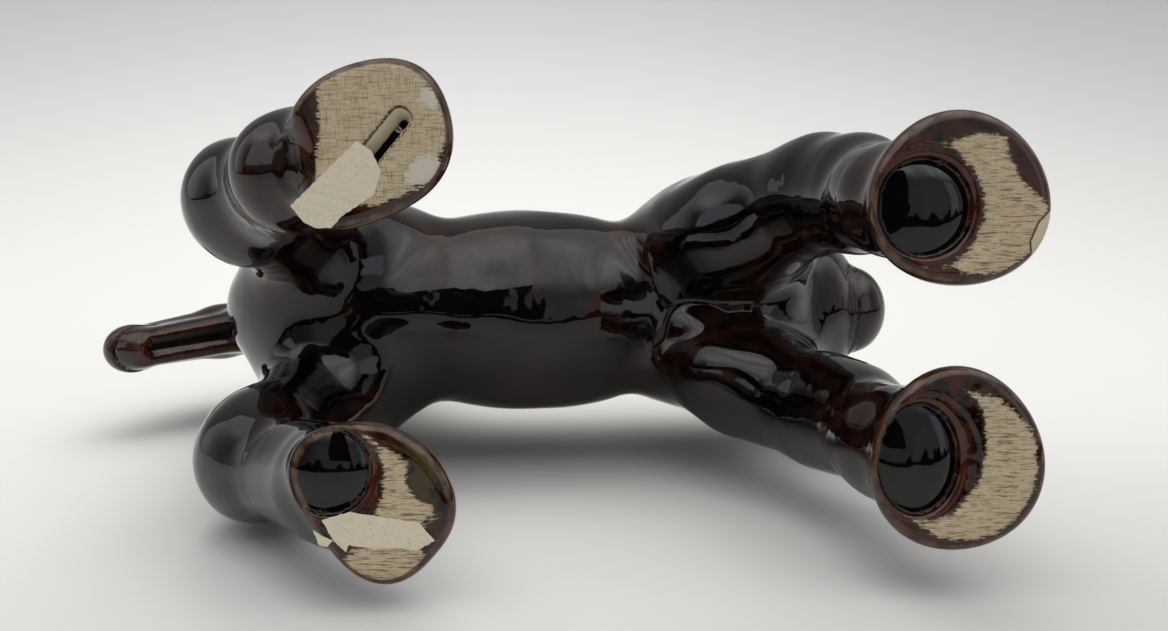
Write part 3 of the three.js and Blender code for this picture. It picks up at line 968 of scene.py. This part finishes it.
colour = look.mix((olive * mottle.between(0.38, 0.56)).least(1.0) * 0.8, colour, GREEN)
print(len(look.tree.nodes), "nodes with the glaze's own colours")

# %% [markdown]
# Over the glaze come a lighter line along the rims, the bare clay with its brown edge, the slit and the chip.
# Glaze is almost a mirror, and its bump is slow and shallow, as glass that has run. Clay is dull.

# %% Rims, clay and chip on the glaze
GLAZE_ROUGH = 0.035
CLAY_ROUGHER = 0.8

streaks = look.noise(look.stretch(whole, (0.22, 0.22, 0.2)), 1.0, 2.0, 0.5)
rim_line = (from_edge_here + 1.0 + (streaks - 0.5) * 1.2).size().below(0.7, 0.9) * z.below(2.8, 1.8)
rim_colour = look.mix(streaks.between(0.36, 0.64), RIM_DARK, RIM)
colour = look.mix(rim_line, colour, rim_colour)
colour = look.mix(clay_mask, colour, clay)
colour = look.mix(clay_edge * (1.0 - spots), colour, EDGE_BROWN)
# The slit's pale wall, and the painted shade below it.
colour = look.mix(in_slit, colour, wall)
chip_mask = (chip + (grain - 0.5) * 0.5).below(0.0, 0.12) * z.below(3.0, 0.5)
colour = look.mix(chip.hump(0.2, 0.7) * z.below(3.0, 0.5), colour, EDGE_BROWN)
colour = look.mix(chip_mask, colour, look.mix(grain.between(0.4, 0.7) * 0.3, CLAY_PALE, CLAY))
dull = clay_mask.most(chip_mask).most(in_slit)

roughness = GLAZE_ROUGH + dull * CLAY_ROUGHER + (mottle - 0.5) * 0.012
height = dull * (lines * -0.10 + grain * 0.06) + (1.0 - dull) * look.noise(whole, 0.09, 2.0) * 0.55
height = height + dull * 0.12
bump = look.node("ShaderNodeBump", None, {"Strength": 0.5, "Distance": 0.0007, "Height": height})
glaze = look.finish({"Base Color": colour, "Roughness": roughness, "IOR": 1.5, "Normal": bump})
cast.data.materials.append(glaze)
print(len(look.tree.nodes), "nodes in the glaze and clay")

# %% [markdown]
# Scraps of an old paper label still stick to two of the feet. Each is a thin sheet lying on its sole, cut to
# its torn outline. The scraps could be painted on the soles instead, but then they would have no edge.

# %% Scraps of paper
PAPER_THICK = 0.14
PAPER_SUNK = 0.03
PAPER_WAVE = 0.05
TEAR_STEP = 0.5
SCRAPS = dict(
    label_scrap_left=[
        (46.8, -56.4), (44.3, -52.6), (39.2, -50.4), (33.5, -52.1), (28.3, -60.0), (25.3, -62.7),
        (25.3, -66.5), (26.6, -69.2), (30.7, -72.6),
    ],
    label_scrap_right=[
        (-47.4, -65.6), (-45.5, -58.9), (-47.4, -47.5), (-48.5, -41.5), (-53.1, -37.6), (-55.6, -42.3),
        (-54.8, -45.8), (-54.9, -53.0), (-53.8, -59.0), (-55.6, -59.7), (-52.5, -62.9),
    ],
    label_bit_right=[(-49.9, -67.8), (-51.4, -65.6), (-52.7, -62.9), (-54.2, -64.4), (-53.7, -66.4)],
)


def torn(outline):
    """The outline with a small ragged step every half millimetre."""
    made = []
    for (ax, ay), (bx, by) in zip(outline, outline[1:] + outline[:1]):
        long = math.hypot(bx - ax, by - ay)
        count = max(1, round(long / TEAR_STEP))
        for n in range(count):
            t = n / count
            x, y = ax + (bx - ax) * t, ay + (by - ay) * t
            off = 0.07 * math.sin(3.1 * x + 1.7 * y) + 0.05 * math.sin(5.3 * y - 2.2 * x) if n else 0.0
            made.append((x - (by - ay) / long * off, y + (bx - ax) / long * off))
    return made


def paper_scrap(name, outline):
    around = torn(outline)
    count = len(around)
    low = [(x, y, -PAPER_THICK + PAPER_WAVE * math.sin(0.9 * x + 0.6 * y)) for x, y in around]
    high = [(x, y, PAPER_SUNK) for x, y in around]
    sides = [[n, (n + 1) % count, (n + 1) % count + count, n + count] for n in range(count)]
    faces = [list(range(count)), list(range(count, 2 * count))[::-1]] + sides
    made = make_mesh(name, placed(low + high), faces)
    made.data.shade_flat()
    mending = bmesh.new()
    mending.from_mesh(made.data)
    bmesh.ops.recalc_face_normals(mending, faces=mending.faces)
    mending.to_mesh(made.data)
    mending.free()
    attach(made, "root")
    return made


print("the paper is", PAPER_THICK, "mm thick")

# %% [markdown]
# The paper has yellowed along its fibres, and holds small blotches of dirt and finer dark specks.

# %% The look of the paper
PAPER = (0.68, 0.61, 0.46)
PAPER_YELLOWED = (0.57, 0.50, 0.36)
PAPER_DIRT = (0.30, 0.22, 0.14)
PAPER_SPECK = (0.12, 0.08, 0.05)

paper = Look("old_paper")
paper_whole = paper.place()[0]
fibre = paper.noise(paper.stretch(paper_whole, (1.6, 0.7, 1.0)), 1.0, 4.0, 0.65)
dirt = paper.noise(paper_whole, 0.9, 4.0, 0.6)
speck = paper.noise(paper_whole, 2.7, 1.0)
sheet = paper.mix(fibre.between(0.4, 0.7) * 0.5, PAPER, PAPER_YELLOWED)
sheet = paper.mix(dirt.between(0.58, 0.72) * 0.4, sheet, PAPER_DIRT)
sheet = paper.mix(speck.between(0.72, 0.76) * 0.6, sheet, PAPER_SPECK)
paper_height = fibre + dirt * 0.5
paper_bump = paper.node("ShaderNodeBump", None, {"Strength": 0.4, "Distance": 0.0002, "Height": paper_height})
paper_look = paper.finish({"Base Color": sheet, "Roughness": 0.75 + fibre * 0.2, "Normal": paper_bump})
for name, outline in SCRAPS.items():
    paper_scrap(name, outline).data.materials.append(paper_look)
print(len(SCRAPS), "scraps of paper")

# %% [markdown]
# The horse lies on a pale sheet that runs back behind it and curves up to a wall, so that no horizon shows.
# The sheet is seen only from its upper side, and a camera behind it looks through it.

# %% The pale sheet
SHEET_AT = placed((-72.0, -53.0, 0.0))
SHEET_SLOPE = 0.14
SHEET_NEAR = 1.3
SHEET_FAR = 0.5
SHEET_HALF = 2.6
CURVE_RADIUS = 1.0
CURVE_STEPS = 24
CURVE_TURN = math.radians(80)
WALL_HEIGHT = 1.6
up_from_sheet = unit([1.0, 0.0, -SHEET_SLOPE])
back_from_camera = np.cross([0.0, 1.0, 0.0], up_from_sheet)
if back_from_camera[2] < 0:
    back_from_camera = -back_from_camera


def sheet_profile():
    """How far back and how far up the sheet runs, from its near edge to the top of the wall."""
    made = [(-SHEET_NEAR, 0.0), (-SHEET_NEAR / 2, 0.0), (0.0, 0.0), (SHEET_FAR, 0.0)]
    for n in range(1, CURVE_STEPS + 1):
        turn = CURVE_TURN * n / CURVE_STEPS
        made.append((SHEET_FAR + CURVE_RADIUS * math.sin(turn), CURVE_RADIUS * (1 - math.cos(turn))))
    back, up = made[-1]
    made.append((back + WALL_HEIGHT * math.cos(CURVE_TURN), up + WALL_HEIGHT * math.sin(CURVE_TURN)))
    return made


rows = []
for back, up in sheet_profile():
    for side in (-SHEET_HALF, SHEET_HALF):
        rows.append(SHEET_AT + back_from_camera * back + up_from_sheet * up + np.array([0.0, side, 0.0]))
strips = [[2 * n, 2 * n + 1, 2 * n + 3, 2 * n + 2] for n in range(len(rows) // 2 - 1)]
floor = make_mesh("pale_sheet", np.array(rows), strips)
if floor.data.polygons[0].normal.dot(mathutils.Vector(up_from_sheet)) < 0:
    floor.data.flip_normals()
print(len(strips), "strips in the sheet")

# %% [markdown]
# The sheet's paint is dull. It is painted darker close to the camera, a painted shadow of whoever holds the
# camera, and grows brighter away from the camera and towards the horse's head. Up the wall it is painted
# greyer, as painted shade.

# %% The sheet's paint
# The dim colour is a painted shadow, and the wall's grey is painted shade.
SHEET_PAINTED_SHADOW = (0.49, 0.486, 0.47)
SHEET_BRIGHT = (0.66, 0.655, 0.63)
WALL_PAINTED_SHADE = (0.50, 0.505, 0.495)

paint = Look("pale_sheet")
back = paint.node("ShaderNodeNewGeometry", out=6)
paint_x, paint_y, paint_z = paint.split(paint.node("ShaderNodeTexCoord", out=3))
# Painted shadow darkens the sheet near the camera, and painted shade greys it up the wall.
out_of_painted_shadow = (paint_z - paint_y * 0.35).between(-0.20, 0.12)
painted_wall_shade = paint_x.between(0.0, 0.45)
shade = paint.mix(out_of_painted_shadow, SHEET_PAINTED_SHADOW, SHEET_BRIGHT)
shade = paint.mix(painted_wall_shade, shade, WALL_PAINTED_SHADE)
dull_paint = {"Base Color": shade, "Roughness": 1.0, "Specular IOR Level": 0.0}
soft = paint.node("ShaderNodeBsdfPrincipled", None, dull_paint)
clear = paint.node("ShaderNodeBsdfTransparent")
both = paint.node("ShaderNodeMixShader", None, {0: back, 1: soft, 2: clear})
paint.tree.links.new(both.socket, paint.output.inputs["Surface"])
floor.data.materials.append(paint.material)
print(len(paint.tree.nodes), "nodes in the sheet's paint")

# %% [markdown]
# The glaze is a mirror, so the room decides how it looks. Overhead is a broad bright ceiling. Behind the
# camera are a dim wall with cool windows, dark things along its foot and the dark shape of the stand. The
# camera itself sees a plain pale backdrop.

# %% The room
CEILING = 1.7
WALL_GREY = 0.40
FRONT = 0.85
BELOW_SHEET = 0.03
PALE = 0.80
COOL = (0.84, 0.90, 1.0)
ROOM_TINT = (0.985, 0.99, 1.0)
BACKDROP_TINT = (1.0, 1.0, 0.985)
WINDOWS = [(0.80, 0.30, 0.20, 0.24), (-1.25, 0.45, 0.16, 0.28), (2.2, 0.35, 0.2, 0.25)]

world = bpy.data.worlds.new("studio")
bpy.context.scene.world = world
world.use_nodes = True


class Room(Look):
    def __init__(self, world):
        self.tree = world.node_tree
        self.tree.nodes.clear()
        self.output = self.tree.nodes.new("ShaderNodeOutputWorld")


room = Room(world)
way = room.node("ShaderNodeTexCoord", out=0)
dx, dy, dz = room.split(way)
height_up = dx * float(up_from_sheet[0]) + dz * float(up_from_sheet[2])
climb = room.maths("ARCSINE", height_up)
around = room.maths("ARCTAN2", dy, -dz)
wavy = room.noise(way, 2.2, 2.0)
ribs = room.noise(room.stretch(way, (0.4, 5.0, 0.4)), 1.0, 2.0)
skyline = room.noise(room.stretch(way, (1.0, 5.0, 5.0)), 1.0, 1.0)
dim_side = (around + 1.3).size().below(0.9, 0.6)
wall_level = WALL_GREY * (0.55 + wavy * 0.9) * (1.0 - dim_side * 0.65)
ceiling_level = CEILING * (0.72 + ribs.between(0.35, 0.65) * 0.5)
level = room.lerp(climb.between(0.50, 0.85), wall_level, ceiling_level)
each_window = [
    (around - at).size().below(wide, 0.05) * (climb - up).size().below(high, 0.05)
    for at, up, wide, high in WINDOWS
]
windows = reduce(Wire.most, each_window)
level = room.lerp(windows, level, 1.0)
things = (climb - 0.015 - skyline.between(0.40, 0.62) * 0.09).below(0.0, 0.015)
level = level * (1.0 - things * 0.94)
front = dz.between(-0.15, 0.35)
level = room.lerp(front, level, FRONT)
level = room.lerp(climb.between(-0.02, 0.0), BELOW_SHEET, level)
seen_directly = room.node("ShaderNodeLightPath", out=0)
level = room.lerp(seen_directly, level, PALE)
tint = room.mix(windows, ROOM_TINT, COOL)
tint = room.mix(seen_directly, tint, BACKDROP_TINT)
shine = room.node("ShaderNodeBackground", None, {"Color": tint, "Strength": level})
room.tree.links.new(shine.socket, room.output.inputs["Surface"])
print(len(room.tree.nodes), "nodes in the room")

# %% [markdown]
# One broad soft lamp shines on the horse's left side, from above in the picture. The glaze doesn't mirror it,
# because the room already has a bright ceiling to mirror.


# %% The lamp
def area_light(name, at, towards, size, power):
    data = bpy.data.lights.new(name, "AREA")
    data.shape = "DISK"
    data.size = size
    data.energy = power
    made = bpy.data.objects.new(name, data)
    bpy.context.scene.collection.objects.link(made)
    made.location = at
    way = unit(np.array(towards) - np.array(at))
    made.rotation_mode = "QUATERNION"
    made.rotation_quaternion = mathutils.Vector(way).to_track_quat("-Z", "Y")
    made.visible_glossy = False
    return made


lamp = area_light("overhead", at=(0.85, 0.0, 0.42), towards=(0, 0, 0.12), size=1.0, power=5.4)
print("the lamp hangs at", tuple(round(v, 2) for v in lamp.location))

# %% [markdown]
# The dark shape in the domes is whatever holds the camera. It is a dull black slab just behind it, which only
# the reflections see.

# %% The dark stand
STAND_BEHIND = 0.09
STAND_HALF = 0.085
STAND_LOW = -0.045
STAND_HIGH = 0.34
CLOTH_DARK = (0.010, 0.010, 0.011)
CLOTH_LIGHT = (0.022, 0.021, 0.023)

camera_z = placed((0.0, 0.0, 0.0))[2] - DISTANCE
stand_z = camera_z - STAND_BEHIND
stand_corners = [
    (STAND_LOW, -STAND_HALF, stand_z), (STAND_LOW, STAND_HALF, stand_z),
    (STAND_HIGH, STAND_HALF, stand_z), (STAND_HIGH, -STAND_HALF, stand_z),
]
stand = make_mesh("dark_stand", np.array(stand_corners), [[0, 1, 2, 3]])
stand.visible_camera = False
stand.visible_diffuse = False
stand.visible_shadow = False
cloth = Look("dull_black")
cloth_grain = cloth.noise(cloth.place()[0], 0.05, 2.0)
cloth_tone = cloth.mix(cloth_grain, CLOTH_DARK, CLOTH_LIGHT)
stand.data.materials.append(cloth.finish({"Base Color": cloth_tone, "Roughness": 0.9}))
print("the stand is", round(STAND_HIGH - STAND_LOW, 3), "m high and", STAND_HALF * 2, "m wide")

# %% [markdown]
# The camera is set from the picture's own perspective, worked out above.

# %% Setting the camera
camera_data = bpy.data.cameras.new("camera")
camera = bpy.data.objects.new("camera", camera_data)
bpy.context.scene.collection.objects.link(camera)
camera_data.sensor_width = 36.0
camera_data.lens = FOCAL_PIXELS / PICTURE[0] * camera_data.sensor_width
camera_data.clip_start = 0.01
MIDDLE = (3.5, 0.0, 0.0)
looks_at = placed(MIDDLE)
camera.matrix_world = mathutils.Matrix((
    (*(seen.T @ np.array([1.0, 0, 0])),),
    (*(seen.T @ np.array([0, -1.0, 0])),),
    (*(seen.T @ np.array([0, 0, -1.0])),),
)).transposed().to_4x4()
camera.location = looks_at - seen.T @ np.array([0, 0, DISTANCE])
bpy.context.scene.camera = camera
bpy.context.scene.view_settings.view_transform = "Standard"
print("camera at", tuple(round(v, 3) for v in camera.location))
